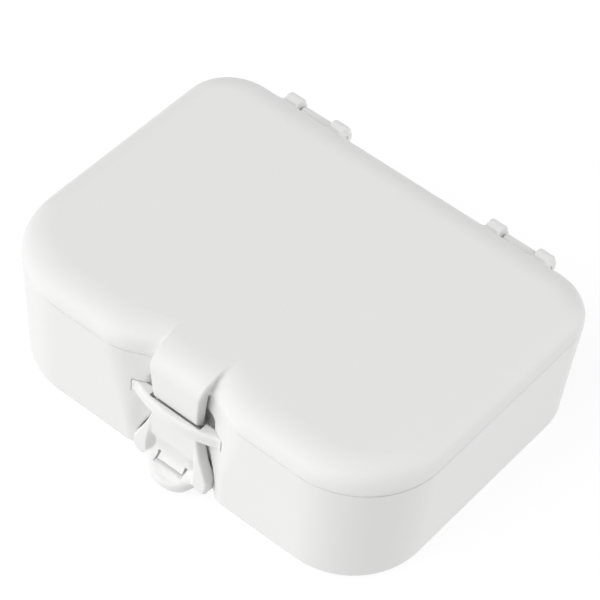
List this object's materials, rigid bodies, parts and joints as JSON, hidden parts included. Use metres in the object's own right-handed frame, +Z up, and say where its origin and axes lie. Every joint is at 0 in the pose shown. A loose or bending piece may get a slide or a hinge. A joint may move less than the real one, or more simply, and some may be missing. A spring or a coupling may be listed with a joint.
{
  "type": "denture case",
  "caption": "Low rounded plastic box for dentures: base and lid joined by two pin hinges at the back and held by a rocking thumb latch in the front wall.",
  "frame": {"origin": "centre of the box outline on the flat underside, where it stands on the table", "axes": "+X along the length of the box, to the right when facing the latch; +Y from the latch wall to the hinge wall; +Z up out of the underside"},
  "size_m": [0.095, 0.0767, 0.0328],
  "materials": {
    "white_plastic": "satin moulded white polypropylene",
    "pin_plastic": "satin moulded white acetal"
  },
  "bodies": {
    "base": {"base_shell": "white_plastic"},
    "lid": {"lid_shell": "white_plastic", "hinge_pin_left": "pin_plastic", "hinge_pin_right": "pin_plastic"},
    "latch": {"latch_lever": "white_plastic", "latch_pin_left": "pin_plastic", "latch_pin_right": "pin_plastic"}
  },
  "joints": [
    {"name": "lid_hinge", "type": "hinge", "parent": "base", "child": "lid", "pos_m": [0, 0.037, 0.0263], "axis": [-1, 0, 0], "range_deg": [0, 115]},
    {"name": "latch_rock", "type": "hinge", "parent": "base", "child": "latch", "pos_m": [0, -0.0328, 0.0056], "axis": [1, 0, 0], "range_deg": [0, 8], "stiffness_Nm_per_rad": 0.05}
  ]
}
